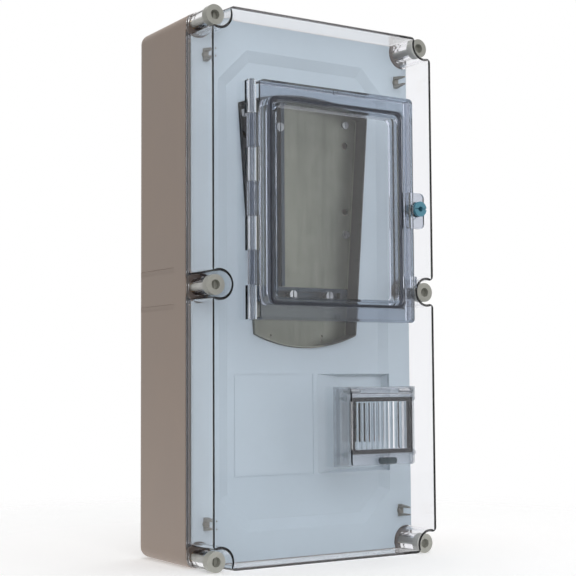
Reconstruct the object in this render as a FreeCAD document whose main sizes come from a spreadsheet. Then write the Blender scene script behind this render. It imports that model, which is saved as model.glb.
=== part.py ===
import FreeCAD, Part
import os
import re

# Wall-hung electric meter box. Millimetres; X to the right, Y into the wall, Z up.
# The origin is the centre of the back face, so the front of the lid is at y = -box_depth.

SIZES = {
    # outer box
    "box_width": 300,
    "box_height": 600,
    "box_depth": 170,
    "lid_depth": 57,
    "base_wall": 3.5,
    "lid_wall": 3,
    "base_draft": 1,
    "lid_draft": 1.8,
    "corner_radius": 12,
    "back_radius": 10,
    "lid_edge_radius": 3,
    "rim_depth": 6,
    "rim_width": 7,
    # seal between lid and base
    "gasket_height": 2.5,
    "gasket_width": 3.6,
    "gasket_inset": 0.8,
    # cover screws, their pockets and inserts
    "screw_inset": 11.2,
    "pocket_radius": 14,
    "pocket_floor": 6,
    "pocket_mouth": 5,
    "pad_margin": 0.5,
    "head_radius": 11,
    "head_setback": 11,
    "head_height": 9,
    "head_socket_radius": 5.2,
    "head_socket_depth": 6.5,
    "head_slot_width": 2.2,
    "head_slot_depth": 1.5,
    "tower_step": 1.2,
    "loose_lift": 5,
    "shank_radius": 3.9,
    "shank_length": 22,
    "shank_clearance": 0.6,
    "insert_radius": 6,
    "insert_length": 20,
    "thread_play": 0.1,
    "boss_radius": 14,
    "boss_floor": 6,
    # wall fixing, knock-outs and coupling grooves of the base
    "fixing_pitch_across": 240,
    "fixing_pitch_up": 530,
    "fixing_radius": 3.5,
    "knockout_radius": 16,
    "knockout_groove": 2,
    "knockout_depth": 1.2,
    "knockout_pitch": 70,
    "groove_level": 20,
    "groove_width": 5.5,
    "groove_depth": 0.8,
    "groove_front": 26,
    "groove_end": 7,
    # inner cover
    "plate_depth": 50,
    "plate_thickness": 3,
    "plate_gap": 1.2,
    "bead_side": 35,
    "bead_end": 35,
    "bead_chamfer": 36,
    "bead_width": 12.5,
    "border_rise": 4,
    # meter cut-out: tapered, with arched top and bottom
    "cut_top_margin": 78,
    "cut_bottom": -65,
    "cut_side_top": 61,
    "cut_taper": 21,
    "cut_top_arc": 250,
    "cut_bottom_arc": 171,
    "cut_corner": 2,
    # breaker recess of the inner cover
    "recess_start": 12.9,
    "recess_ramp": 33.4,
    "recess_edge": 0.5,
    "recess_top": -94,
    "recess_bottom": -206,
    "recess_depth": 8,
    "recess_slope": 3,
    "aperture_width": 36,
    "aperture_height": 45,
    "aperture_margin": 6,
    "field_edge": 8.5,
    "field_gap": 6,
    "field_line": 1,
    "field_depth": 0.5,
    # snap clips of the inner cover
    "clip_side": 20.5,
    "clip_end": 47,
    "clip_length": 18,
    "clip_width": 6,
    "clip_half_height": 7,
    "clip_gap": 3.4,
    "clip_tip": 1.4,
    "clip_root": 2.4,
    "clip_neck_radius": 4,
    "clip_stem_length": 16,
    "clip_play": 0.3,
    "clip_post_radius": 8,
    # meter pan
    "pan_gap": 0.6,
    "pan_rise": 4,
    "pan_sheet": 1.5,
    "pan_floor_depth": 68,
    "pan_hole_edge": 19,
    "pan_hole_drop": 23,
    "pan_hole_step": 24.5,
    "pan_hole_low": 69,
    "pan_hole_low_step": 27,
    "pan_hole_radius": 4,
    "pan_dot_across": 35,
    "pan_dot_level": -50.5,
    "pan_dot_step": 5.2,
    "pan_dot_radius": 1.3,
    "post_radius": 8,
    "screw_head_radius": 4.4,
    "screw_head_height": 2.6,
    "screw_radius": 2.4,
    "screw_length": 14,
    # meter rails
    "rail_sheet": 1.5,
    "hanger_centre": -27,
    "hanger_width": 15,
    "hanger_depth": 7,
    "hanger_slot": 6,
    "hanger_drop": 10,
    "hanger_bolt_drop": 36,
    "crossbar_level": -4.4,
    "crossbar_height": 17.2,
    "crossbar_depth": 9,
    "crossbar_reach": 2,
    "crossbar_slot": 8,
    "crossbar_end": 10,
    "crossbar_bolt_left": -12,
    "crossbar_bolt_right": 38,
    "rail_gap": 1,
    "bolt_head_radius": 5,
    "bolt_head_height": 4,
    "bolt_radius": 2.5,
    # breaker rail
    "din_level": -150,
    "din_depth": 108,
    "din_start": 16.7,
    "din_length": 102,
    "din_height": 35,
    "din_web": 25,
    "din_hat": 7.5,
    "din_sheet": 1.2,
    "din_screw_inset": 12,
    # large window and its opening
    "window_left_margin": 50.5,
    "window_right_margin": 44,
    "window_bottom": -37,
    "window_top_margin": 81,
    "window_front": 16,
    "window_pane": 3,
    "window_skirt": 3,
    "window_lift": 2,
    "window_corner": 5,
    "opening_left_border": 16,
    "opening_right_border": 16,
    "opening_low_border": 19,
    "opening_top_border": 19,
    "opening_corner": 8,
    "flange_gap": 3,
    "flange_wall": 2.5,
    "flange_reach": 15,
    "collar_wall": 3,
    "collar_front": 9,
    "collar_back": 9,
    "seal_play": 0.2,
    "bezel_height": 1.2,
    "bezel_width": 3,
    "eye_across": -2,
    "eye_radius": 3,
    "eye_inset": 4.4,
    "eye_height": 1.2,
    "tab_level": 9.5,
    "tab_height": 13,
    "tab_reach": 6,
    # hinge of the large window
    "hinge_offset": 6,
    "hinge_forward": 8,
    "knuckle_radius": 5,
    "knuckle_gap": 0.6,
    "knuckle_web": 7,
    "pin_radius": 2,
    "pin_play": 0.05,
    # blue barrel latch
    "lug_below": 22.5,
    "lug_above": 18.5,
    "lug_reach": 8,
    "lug_thickness": 4,
    "lug_corner": 6,
    "latch_offset": 10,
    "latch_level": 93.5,
    "latch_head_radius": 8.5,
    "latch_head_height": 4,
    "latch_radius": 7,
    "latch_reach": 6,
    "latch_play": 0.06,
    "latch_swing_gap": 1.4,
    "latch_socket_radius": 3,
    "latch_socket_depth": 8,
    "latch_slot_width": 1.6,
    "latch_sleeve_wall": 2.4,
    "latch_sleeve_depth": 9,
    "ring_width": 2,
    "ring_thickness": 1.4,
    "ring_gap": 0.3,
    # small window
    "frame_margin": 36,
    "frame_width": 110.7,
    "frame_bottom": -196,
    "frame_top": -108.5,
    "frame_flange": 3,
    "frame_corner": 3,
    "column_width": 14.7,
    "column_height": 12,
    "column_wall": 2,
    "column_boss": 4.2,
    "cheek_edge": 7,
    "cheek_width": 3.8,
    "cheek_height": 13.5,
    "cheek_half": 5,
    "lens_left_border": 20.7,
    "lens_right_border": 14,
    "lens_bottom": -178,
    "lens_top": -125,
    "rim_seal_width": 4.6,
    "rim_seal_height": 3,
    "rim_collar_height": 5,
    "flap_gap": 0.8,
    "flap_bottom": -194.5,
    "flap_front": 14,
    "flap_pane": 2.8,
    "flute_count": 12,
    "flute_radius": 4.4,
    "flute_rise": 1.2,
    "flap_axis_level": -113.4,
    "flap_axis_forward": 9,
    "flap_barrel": 3.8,
    "flap_pin_radius": 1.5,
    "flap_pin_length": 20,
    "flap_knob_offset": 7.3,
    "flap_knob_level": -190.4,
    "flap_knob_half": 12,
    "flap_knob_radius": 3.6,
    "flap_knob_height": 3,
    "flap_shaft_radius": 2.6,
    "flap_shaft_reach": 6.5,
    "striker_half": 9,
    "striker_height": 5,
    "striker_gap": 0.8,
    "frame_screw_head": 3.4,
    "frame_screw_rise": 2.2,
    "frame_screw_radius": 1.9,
    "frame_screw_inset": 10,
    "frame_screw_drop": 13,
    "frame_screw_reach": 6,
}

# Places that follow from the sizes above.
DERIVED = {
    "bead_half_width": "box_width/2 - bead_side",
    "bead_half_height": "box_height/2 - bead_end",
    "border_depth": "plate_depth - border_rise",
    "clip_across": "box_width/2 - clip_side",
    "clip_up": "box_height/2 - clip_end",
    "cut_top": "box_height/2 - cut_top_margin",
    "cut_half_top": "box_width/2 - cut_side_top",
    "cut_half_bottom": "box_width/2 - cut_side_top - cut_taper",
    "pan_hole_across": "cut_half_top - pan_hole_edge",
    "pan_hole_top": "cut_top - pan_hole_drop",
    "hanger_top": "cut_top - hanger_drop",
    "hanger_bolt_level": "cut_top - hanger_bolt_drop",
    "crossbar_half": "cut_half_bottom - crossbar_reach",
    "window_left": "window_left_margin - box_width/2",
    "window_right": "box_width/2 - window_right_margin",
    "window_top": "box_height/2 - window_top_margin",
    "opening_left": "window_left + opening_left_border",
    "opening_right": "window_right - opening_right_border",
    "opening_bottom": "window_bottom + opening_low_border",
    "opening_top": "window_top - opening_top_border",
    "hinge_across": "window_left - hinge_offset",
    "latch_across": "window_right + latch_offset",
    "lug_right": "latch_across + lug_reach",
    "lug_low": "latch_level - lug_below",
    "lug_high": "latch_level + lug_above",
    "frame_right": "box_width/2 - frame_margin",
    "frame_left": "frame_right - frame_width",
    "column_right": "frame_left + column_width",
    "cheek_right": "frame_right - cheek_edge",
    "cheek_left": "cheek_right - cheek_width",
    "lens_left": "frame_left + lens_left_border",
    "lens_right": "frame_right - lens_right_border",
    "flap_left": "column_right + flap_gap",
    "flap_right": "cheek_left - flap_gap",
    "flap_knob_across": "(frame_left + frame_right)/2 + flap_knob_offset",
    "recess_left": "frame_left + recess_start",
    "recess_floor_left": "recess_left + recess_ramp",
    "recess_right": "bead_half_width + recess_edge",
    "field_left": "bead_width + field_edge - bead_half_width",
    "field_right": "recess_left - field_gap",
    "din_left": "frame_left + din_start",
    "din_right": "din_left + din_length",
}

doc = FreeCAD.newDocument("meter_box")
sheet = doc.addObject("Spreadsheet::Sheet", "dims")
for row, (alias, value) in enumerate(SIZES.items(), start=1):
    sheet.set(f"A{row}", alias)
    sheet.set(f"B{row}", str(value))
    sheet.setAlias(f"B{row}", alias)
doc.recompute()

ALONG_X = FreeCAD.Rotation(FreeCAD.Vector(0, 1, 0), 90)
ALONG_Y = FreeCAD.Rotation(FreeCAD.Vector(1, 0, 0), -90)
ALONG_Z = FreeCAD.Rotation()
UPRIGHT = FreeCAD.Rotation(FreeCAD.Vector(1, 0, 0), 90)

FRONT = "(-box_depth)"
SEAM = "(lid_depth - box_depth)"
LID_END = "(lid_depth - box_depth - gasket_height)"
OVER = 2
SAME = 0.01
HEAD_SEAT = f"{FRONT} + head_setback + head_height"
SIDES = (-1, 1)
LEVELS = (-1, 0, 1)


def size(alias):
    return float(sheet.get(alias))


def named(text):
    """The text of an expression, with every name written out as a cell of the sheet."""
    def spelled(word):
        name = word.group(0)
        return f"({named(DERIVED[name])})" if name in DERIVED else "dims." + name
    return re.sub(r"[a-z][a-z_]+", spelled, str(text))


def bind(item, prop, text):
    item.setExpression(prop, named(text))


def place(item, x, y, z):
    bind(item, "Placement.Base.x", x)
    bind(item, "Placement.Base.y", y)
    bind(item, "Placement.Base.z", z)


def box(name, x, y, z):
    item = doc.addObject("Part::Box", name)
    bind(item, "Length", f"({x[1]}) - ({x[0]})")
    bind(item, "Width", f"({y[1]}) - ({y[0]})")
    bind(item, "Height", f"({z[1]}) - ({z[0]})")
    place(item, x[0], y[0], z[0])
    return item


def rod(name, radius, rotation, span, first, second):
    """A cylinder along X, Y or Z; first and second are its other two coordinates in XYZ order."""
    item = doc.addObject("Part::Cylinder", name)
    item.Placement = FreeCAD.Placement(FreeCAD.Vector(), rotation)
    bind(item, "Radius", radius)
    bind(item, "Height", f"({span[1]}) - ({span[0]})")
    if rotation is ALONG_X:
        place(item, span[0], first, second)
    elif rotation is ALONG_Y:
        place(item, first, span[0], second)
    else:
        place(item, first, second, span[0])
    return item


def taper(name, y, near, far):
    """A prism along Y between the rectangles near and far, each (x low, x high, z low, z high)."""
    item = doc.addObject("Part::Wedge", name)
    bind(item, "Ymin", y[0])
    bind(item, "Ymax", y[1])
    for prop, text in zip(("Xmin", "Xmax", "Zmin", "Zmax"), near):
        bind(item, prop, text)
    for prop, text in zip(("X2min", "X2max", "Z2min", "Z2max"), far):
        bind(item, prop, text)
    return item


def join(name, items):
    item = doc.addObject("Part::MultiFuse", name)
    item.Shapes = items
    item.Refine = True
    return item


def shared(name, items):
    item = doc.addObject("Part::MultiCommon", name)
    item.Shapes = items
    item.Refine = True
    return item


def bundle(name, items):
    item = doc.addObject("Part::Compound", name)
    item.Links = items
    return item


def less(name, whole, tools):
    item = doc.addObject("Part::Cut", name)
    item.Base = whole
    item.Tool = tools[0] if len(tools) == 1 else join(name + "_tools", tools)
    item.Refine = True
    return item


def rounded(name, whole, alias, chosen):
    """Rounds the edges for which chosen(edge) holds."""
    whole.recompute(True)
    radius = size(alias)
    edges = [
        (number, radius, radius)
        for number, edge in enumerate(whole.Shape.Edges, start=1)
        if chosen(edge)
    ]
    item = doc.addObject("Part::Fillet", name)
    item.Base = whole
    item.Edges = edges
    return item


def spans(edge, low, high):
    """True for an edge between the planes y = low and y = high."""
    ends = sorted(vertex.Point.y for vertex in edge.Vertexes)
    return abs(ends[0] - low) < SAME and abs(ends[-1] - high) < SAME


def along_depth(edge):
    if len(edge.Vertexes) != 2:
        return False
    run = edge.Vertexes[1].Point - edge.Vertexes[0].Point
    return abs(run.x) + abs(run.z) < SAME and abs(run.y) > 0.5


def soft_box(name, x, y, z, alias):
    """A box with its four edges along Y rounded."""
    return rounded(name, box(name + "_block", x, y, z), alias, along_depth)


def behind(depth):
    """The y of a plane that lies this depth behind the front of the lid."""
    return f"({depth} - box_depth)"


def before(height):
    """The y of a plane that lies this height before the front of the lid."""
    return f"(-box_depth - ({height}))"


def side(sign, text):
    return f"({sign})*({text})"


def screw_axes():
    for level in LEVELS:
        for sign in SIDES:
            yield (
                sign,
                level,
                side(sign, "box_width/2 - screw_inset"),
                side(level, "box_height/2 - screw_inset"),
            )


def corner_axes(across, up):
    for level in SIDES:
        for sign in SIDES:
            yield side(sign, across), side(level, up)


def outline(name, inset, radius, y):
    """The box outline moved in by inset, less a disc of the given radius round every cover screw."""
    plate = box(
        name + "_plate",
        (f"-box_width/2 + {inset}", f"box_width/2 - ({inset})"),
        y,
        (f"-box_height/2 + {inset}", f"box_height/2 - ({inset})"),
    )
    discs = [
        rod(f"{name}_disc", radius, ALONG_Y, (f"{y[0]} - {OVER}", f"{y[1]} + {OVER}"), x, z)
        for _, _, x, z in screw_axes()
    ]
    return less(name, plate, discs)


def screw_rods(name, radius, y):
    return [rod(name, radius, ALONG_Y, y, x, z) for _, _, x, z in screw_axes()]


def half_outline(draft):
    wide = f"box_width/2 - ({draft})"
    tall = f"box_height/2 - ({draft})"
    return (f"-({wide})", wide, f"-({tall})", tall)


# Clear lid

def lid_knuckle_spans():
    """The z spans of the hinge knuckles from the bottom up, by turns on the lid and on the window."""
    pitch = "(window_top - window_bottom)/7"
    return [
        (f"window_bottom + {k}*{pitch} + knuckle_gap/2", f"window_bottom + {k + 1}*{pitch} - knuckle_gap/2")
        for k in range(7)
    ]


HINGE_Y = before("hinge_forward")


def build_lid():
    outer = taper("lid_block", (FRONT, LID_END), half_outline("lid_draft"), half_outline("0"))
    front = -size("box_depth")
    end = size("lid_depth") - size("gasket_height") + front
    outer = rounded("lid_corners", outer, "corner_radius", lambda edge: spans(edge, front, end))
    pocket_end = f"{LID_END} - pocket_floor"
    floor = end - size("pocket_floor")
    pockets = screw_rods("screw_pocket", "pocket_radius", (f"{FRONT} - {OVER}", pocket_end))
    notched = less("lid_notched", outer, pockets)
    notched = rounded("lid_mouths", notched, "pocket_mouth", lambda edge: spans(edge, front, floor))
    notched = rounded("lid_round", notched, "lid_edge_radius", lambda edge: spans(edge, front, front))
    room = taper(
        "lid_room",
        (behind("lid_wall"), f"{LID_END} + {OVER}"),
        half_outline("lid_draft + lid_wall"),
        half_outline("lid_wall"),
    )
    sleeves = screw_rods(
        "pocket_sleeve", "pocket_radius + lid_wall", (f"{FRONT} - {OVER}", f"{LID_END} + 2*{OVER}")
    )
    shell = less("lid_shell", notched, [less("lid_hollow", room, sleeves)])
    collar = soft_box(
        "lid_collar",
        ("opening_left - collar_wall", "opening_right + collar_wall"),
        (before("collar_front"), behind("collar_back")),
        ("opening_bottom - collar_wall", "opening_top + collar_wall"),
        "opening_corner",
    )
    extras = [shell, collar]
    extras += screw_rods("screw_tower", "head_radius - tower_step", (HEAD_SEAT, f"{pocket_end} + 1"))
    for span in lid_knuckle_spans()[::2]:
        extras.append(rod("lid_knuckle", "knuckle_radius", ALONG_Z, span, "hinge_across", HINGE_Y))
        extras.append(
            box(
                "lid_knuckle_web",
                ("hinge_across - knuckle_web/2", "hinge_across + knuckle_web/2"),
                (HINGE_Y, behind("lid_wall/2")),
                span,
            )
        )
    extras.append(
        rod(
            "latch_sleeve",
            "latch_radius + latch_swing_gap + latch_sleeve_wall",
            ALONG_Y,
            (behind("lid_wall/2"), behind("latch_sleeve_depth")),
            "latch_across",
            "latch_level",
        )
    )
    opening = soft_box(
        "meter_opening",
        ("opening_left", "opening_right"),
        (before("window_front"), behind("lid_depth")),
        ("opening_bottom", "opening_top"),
        "opening_corner",
    )
    breaker_opening = soft_box(
        "breaker_opening",
        ("lens_left", "lens_right"),
        (before("1"), behind("lid_wall + 1")),
        ("lens_bottom", "lens_top"),
        "frame_corner",
    )
    through = (f"{FRONT} - {OVER}", f"{LID_END} + {OVER}")
    cuts = [opening, breaker_opening]
    cuts += screw_rods(
        "lid_screw_hole", "shank_radius + shank_clearance", (f"{HEAD_SEAT} - {OVER}", through[1])
    )
    cuts.append(
        rod(
            "lid_pin_bore",
            "pin_radius + pin_play",
            ALONG_Z,
            (f"window_bottom - {OVER}", f"window_top + {OVER}"),
            "hinge_across",
            HINGE_Y,
        )
    )
    cuts.append(
        rod(
            "latch_way",
            "latch_radius + latch_swing_gap",
            ALONG_Y,
            (before("1"), behind("latch_sleeve_depth + 1")),
            "latch_across",
            "latch_level",
        )
    )
    for x, z in frame_screw_axes():
        cuts.append(
            rod(
                "frame_screw_hole",
                "frame_screw_radius + thread_play",
                ALONG_Y,
                (before("1"), behind("lid_wall + 1")),
                x,
                z,
            )
        )
    return less("clear_lid", join("lid_whole", extras), cuts)


def frame_screw_axes():
    for x in ("(frame_left + column_right)/2", "(cheek_right + frame_right)/2"):
        for z in ("frame_bottom + frame_screw_drop", "frame_top - frame_screw_drop"):
            yield x, z


# Grey base

def base_face(y):
    """Half the outer width of the base at depth y."""
    return f"(box_width/2 - base_draft*(({y}) - {SEAM})/(box_depth - lid_depth))"


def base_floor(y):
    """Half the outer height of the base at depth y."""
    return f"(box_height/2 - base_draft*(({y}) - {SEAM})/(box_depth - lid_depth))"


def build_base():
    seam = size("lid_depth") - size("box_depth")
    outer = taper("base_block", (SEAM, "0"), half_outline("0"), half_outline("base_draft"))
    outer = rounded("base_corners", outer, "corner_radius", lambda edge: spans(edge, seam, 0))
    outer = rounded("base_round", outer, "back_radius", lambda edge: spans(edge, 0, 0))
    room = taper(
        "base_room",
        (SEAM, "-base_wall"),
        half_outline("base_wall"),
        half_outline("base_draft + base_wall"),
    )
    room_end = -size("base_wall")
    room = rounded("base_room_corners", room, "corner_radius", lambda edge: spans(edge, seam, room_end))
    rim_open = outline(
        "rim_open",
        "rim_width",
        "pocket_radius + rim_width",
        (f"{SEAM} - {OVER}", f"{SEAM} + rim_depth + {OVER}"),
    )
    rim_plate = box(
        "rim_plate",
        ("-box_width/2", "box_width/2"),
        (SEAM, f"{SEAM} + rim_depth"),
        ("-box_height/2", "box_height/2"),
    )
    kept = [less("rim_ring", rim_plate, [rim_open])]
    boss_end = f"{SEAM} + insert_length + boss_floor"
    kept += screw_rods("screw_boss", "boss_radius", (SEAM, boss_end))
    shell = less("base_shell", outer, [less("base_hollow", room, kept)])
    pads = []
    pad_block = soft_box(
        "pad_block",
        ("-box_width/2 + pad_margin", "box_width/2 - pad_margin"),
        (LID_END, f"{SEAM} + {OVER}"),
        ("-box_height/2 + pad_margin", "box_height/2 - pad_margin"),
        "corner_radius",
    )
    for _, _, x, z in screw_axes():
        disc = rod("pad_disc", "pocket_radius - pad_margin", ALONG_Y, (LID_END, f"{SEAM} + {OVER}"), x, z)
        pads.append(shared("screw_pad", [disc, pad_block]))
    posts = []
    bores = []
    root = "-base_wall/2"
    clip_seat = behind("border_depth + plate_thickness")
    for x, z in corner_axes("clip_across", "clip_up"):
        posts.append(rod("clip_post", "clip_post_radius", ALONG_Y, (clip_seat, root), x, z))
        bores.append(
            rod(
                "clip_bore",
                "clip_neck_radius + clip_play",
                ALONG_Y,
                (f"{clip_seat} - {OVER}", f"{clip_seat} + clip_stem_length"),
                x,
                z,
            )
        )
    pan_back = behind("pan_floor_depth + pan_sheet")
    for x, z in pan_screw_axes():
        posts.append(rod("pan_post", "post_radius", ALONG_Y, (pan_back, root), x, z))
        bores.append(
            rod(
                "pan_bore",
                "screw_radius + thread_play",
                ALONG_Y,
                (f"{pan_back} - {OVER}", f"{pan_back} + screw_length"),
                x,
                z,
            )
        )
    rail_back = behind("din_depth + din_hat")
    for x in din_screw_axes():
        posts.append(rod("din_post", "post_radius", ALONG_Y, (rail_back, root), x, "din_level"))
        bores.append(
            rod(
                "din_bore",
                "screw_radius + thread_play",
                ALONG_Y,
                (f"{rail_back} - {OVER}", f"{rail_back} + screw_length"),
                x,
                "din_level",
            )
        )
    bores += screw_rods("insert_bore", "insert_radius", (f"{LID_END} - {OVER}", f"{SEAM} + insert_length"))
    for x, z in corner_axes("fixing_pitch_across/2", "fixing_pitch_up/2"):
        bores.append(rod("wall_hole", "fixing_radius", ALONG_Y, (f"-base_wall - {OVER}", OVER), x, z))
    groove_y = (f"{SEAM} + groove_front", "-groove_end")
    for sign in SIDES:
        for level in SIDES:
            z = (
                side(level, "groove_level") + " - groove_width/2",
                side(level, "groove_level") + " + groove_width/2",
            )
            faces = [f"{base_face(y)} - groove_depth" for y in groove_y]
            far = "box_width/2 + 2"
            near_x = (faces[0], far) if sign > 0 else (f"-({far})", f"-({faces[0]})")
            far_x = (faces[1], far) if sign > 0 else (f"-({far})", f"-({faces[1]})")
            bores.append(taper("coupling_groove", groove_y, near_x + z, far_x + z))
    middle = f"{SEAM}/2"
    for sign in SIDES:
        for step in LEVELS:
            x = side(step, "knockout_pitch")
            depth = f"{base_floor(middle)} - knockout_depth"
            reach = f"box_height/2 + {OVER}"
            z = (depth, reach) if sign > 0 else (f"-({reach})", f"-({depth})")
            disc = rod("knockout_disc", "knockout_radius", ALONG_Z, z, x, middle)
            core = rod("knockout_core", "knockout_radius - knockout_groove", ALONG_Z, z, x, middle)
            bores.append(less("knockout_ring", disc, [core]))
    return less("enclosure_base", join("base_whole", [shell] + pads + posts), bores)


def build_inserts():
    tubes = []
    for _, _, x, z in screw_axes():
        y = (f"{LID_END} + pad_margin", f"{SEAM} + insert_length")
        tube = rod("insert_tube", "insert_radius", ALONG_Y, y, x, z)
        bore = rod(
            "insert_thread",
            "shank_radius + thread_play",
            ALONG_Y,
            (f"{y[0]} - {OVER}", f"{y[1]} + {OVER}"),
            x,
            z,
        )
        tubes.append(less("insert", tube, [bore]))
    return bundle("thread_inserts", tubes)


def build_gasket():
    y = (LID_END, SEAM)
    over = (f"{LID_END} - {OVER}", f"{SEAM} + {OVER}")
    outer = outline("gasket_outer", "gasket_inset", "pocket_radius + gasket_inset", y)
    inner = outline(
        "gasket_inner",
        "gasket_inset + gasket_width",
        "pocket_radius + gasket_inset + gasket_width",
        over,
    )
    return less("lid_gasket", outer, [inner])


def build_cover_screws():
    screws = []
    for sign, level, x, z in screw_axes():
        lift = "loose_lift" if sign > 0 and level == 0 else "0"
        top = f"{FRONT} + head_setback - {lift}"
        seat = f"{HEAD_SEAT} - {lift}"
        head = rod("screw_head", "head_radius", ALONG_Y, (top, seat), x, z)
        tip = f"{LID_END} - pocket_floor - {lift} + shank_length"
        shank = rod("screw_shank", "shank_radius", ALONG_Y, (f"{seat} - {OVER}", tip), x, z)
        floor = f"{top} + head_socket_depth"
        socket = rod("screw_socket", "head_socket_radius", ALONG_Y, (f"{top} - {OVER}", floor), x, z)
        slot = box(
            "screw_slot",
            (f"{x} - head_slot_width/2", f"{x} + head_slot_width/2"),
            (f"{floor} - {OVER}", f"{floor} + head_slot_depth"),
            (f"{z} - head_socket_radius + 1", f"{z} + head_socket_radius - 1"),
        )
        screws.append(less("cover_screw", join("screw_body", [head, shank]), [socket, slot]))
    return bundle("cover_screws", screws)


# Inner cover, clips and meter pan

def meter_outline(name, gap, y):
    """The tapered outline of the meter cut-out, moved in by gap, as a prism along Y."""
    prism = doc.addObject("Part::Wedge", name + "_taper")
    prism.Placement = FreeCAD.Placement(FreeCAD.Vector(), UPRIGHT)
    bind(prism, "Ymin", f"cut_bottom + ({gap})")
    bind(prism, "Ymax", f"cut_top - ({gap})")
    for prop in ("Zmin", "Z2min"):
        bind(prism, prop, f"-({y[1]})")
    for prop in ("Zmax", "Z2max"):
        bind(prism, prop, f"-({y[0]})")
    bind(prism, "Xmin", f"-(cut_half_bottom - ({gap}))")
    bind(prism, "Xmax", f"cut_half_bottom - ({gap})")
    bind(prism, "X2min", f"-(cut_half_top - ({gap}))")
    bind(prism, "X2max", f"cut_half_top - ({gap})")
    top = rod(name + "_top", f"cut_top_arc - ({gap})", ALONG_Y, y, "0", "cut_top - cut_top_arc")
    bottom = rod(
        name + "_bottom", f"cut_bottom_arc - ({gap})", ALONG_Y, y, "0", "cut_bottom + cut_bottom_arc"
    )
    plain = shared(name + "_plain", [prism, top, bottom])
    return rounded(name, plain, "cut_corner", along_depth)


def octagon(name, y, near, far):
    """The field of the inner cover as a prism along Y, moved in by near at its front and far at its back."""
    def upright(inset):
        across = f"bead_half_width - ({inset})"
        along = f"bead_half_height - ({inset})"
        return (f"-({across})", across, f"-({along})", along)

    def turned(inset):
        half = f"(bead_half_width + bead_half_height - bead_chamfer)/2^0.5 - ({inset})"
        return (f"-({half})", half) * 2

    sides = taper(name + "_sides", y, upright(near), upright(far))
    corners = taper(name + "_corners", y, turned(near), turned(far))
    corners.Placement = FreeCAD.Placement(FreeCAD.Vector(), FreeCAD.Rotation(FreeCAD.Vector(0, 1, 0), 45))
    return shared(name, [sides, corners])


def recess_block(name, grow, y):
    """The breaker recess of the inner cover, with a ramp at its left; grow moves every wall out."""
    near = (
        f"recess_left - ({grow})",
        f"recess_right + ({grow})",
        f"recess_bottom - ({grow})",
        f"recess_top + ({grow})",
    )
    far = (
        f"recess_floor_left - ({grow})",
        f"recess_right - recess_slope + ({grow})",
        f"recess_bottom + recess_slope - ({grow})",
        f"recess_top - recess_slope + ({grow})",
    )
    return taper(name, y, near, far)


def build_faceplate():
    face = behind("plate_depth")
    back = behind("plate_depth + plate_thickness")
    border = (behind("border_depth"), behind("border_depth + plate_thickness"))
    plate = outline(
        "cover_plate", "lid_wall + plate_gap", "pocket_radius + lid_wall + plate_gap", border
    )
    field_block = octagon("field_block", (border[0], back), "0", "0")
    tub_floor = behind("plate_depth + recess_depth")
    tub = recess_block("cover_tub", "plate_thickness", (face, f"{tub_floor} + plate_thickness"))
    recess_z = ("recess_bottom", "recess_top")
    link = box(
        "tub_link",
        ("bead_half_width - bead_width", "recess_right + plate_thickness"),
        (border[0], f"{face} + plate_thickness"),
        ("recess_bottom - plate_thickness", "recess_top + plate_thickness"),
    )
    whole = join("cover_whole", [plate, field_block, tub, link])
    cuts = [
        meter_outline("meter_hole", "0", (f"{face} - {OVER}", f"{back} + {OVER}")),
        recess_block("breaker_recess", "0", (face, tub_floor)),
        box(
            "recess_notch",
            ("bead_half_width - bead_width - 1", "recess_right"),
            (f"{border[0]} - {OVER}", f"{face} + 1"),
            recess_z,
        ),
        octagon(
            "field_pocket",
            (f"{border[0]} - {OVER}", face),
            f"-bead_width*{OVER}/border_rise",
            "bead_width",
        ),
    ]
    aperture_x = (
        "recess_floor_left + aperture_margin", "recess_floor_left + aperture_margin + aperture_width"
    )
    aperture_z = ("din_level - aperture_height/2", "din_level + aperture_height/2")
    cuts.append(
        box(
            "breaker_aperture",
            aperture_x,
            (f"{tub_floor} - {OVER}", f"{tub_floor} + plate_thickness + {OVER}"),
            aperture_z,
        )
    )
    field_y = (f"{face} - {OVER}", f"{face} + field_depth")
    field = box("field_outer", ("field_left", "field_right"), field_y, recess_z)
    inner = box(
        "field_inner",
        ("field_left + field_line", "field_right - field_line"),
        (f"{face} - 2*{OVER}", f"{face} + field_depth + {OVER}"),
        ("recess_bottom + field_line", "recess_top - field_line"),
    )
    cuts.append(less("field_ring", field, [inner]))
    for x, z in corner_axes("clip_across", "clip_up"):
        cuts.append(
            rod(
                "clip_hole",
                "clip_neck_radius + clip_play",
                ALONG_Y,
                (f"{border[0]} - {OVER}", f"{border[1]} + {OVER}"),
                x,
                z,
            )
        )
    return less("faceplate", whole, cuts)


def build_clips():
    face = behind("border_depth")
    seat = behind("border_depth + plate_thickness")
    clips = []
    for x, z in corner_axes("clip_across", "clip_up"):
        parts = [
            rod(
                "clip_stem",
                "clip_neck_radius",
                ALONG_Y,
                (f"{face} - 1", f"{seat} + clip_stem_length - 1"),
                x,
                z,
            )
        ]
        wide = (f"{x} - clip_width/2", f"{x} + clip_width/2")
        narrow = (f"{x} - clip_width/4", f"{x} + clip_width/4")
        for sign in SIDES:
            inner = f"{z} + {side(sign, 'clip_gap')}"
            outer = f"{z} + {side(sign, 'clip_half_height')}"
            tip = f"{z} + {side(sign, 'clip_gap + clip_tip')}"
            root_z = (inner, outer) if sign > 0 else (outer, inner)
            tip_z = (inner, tip) if sign > 0 else (tip, inner)
            parts.append(taper("clip_prong", (f"{face} - clip_length", face), narrow + tip_z, wide + root_z))
        parts.append(
            box(
                "clip_bridge",
                wide,
                (f"{face} - clip_root", face),
                (f"{z} - clip_half_height/2", f"{z} + clip_half_height/2"),
            )
        )
        clips.append(join("clip", parts))
    return bundle("faceplate_clips", clips)


def pan_screw_axes():
    for z in ("pan_hole_top", "pan_hole_low"):
        for sign in SIDES:
            yield side(sign, "pan_hole_across"), z


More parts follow.
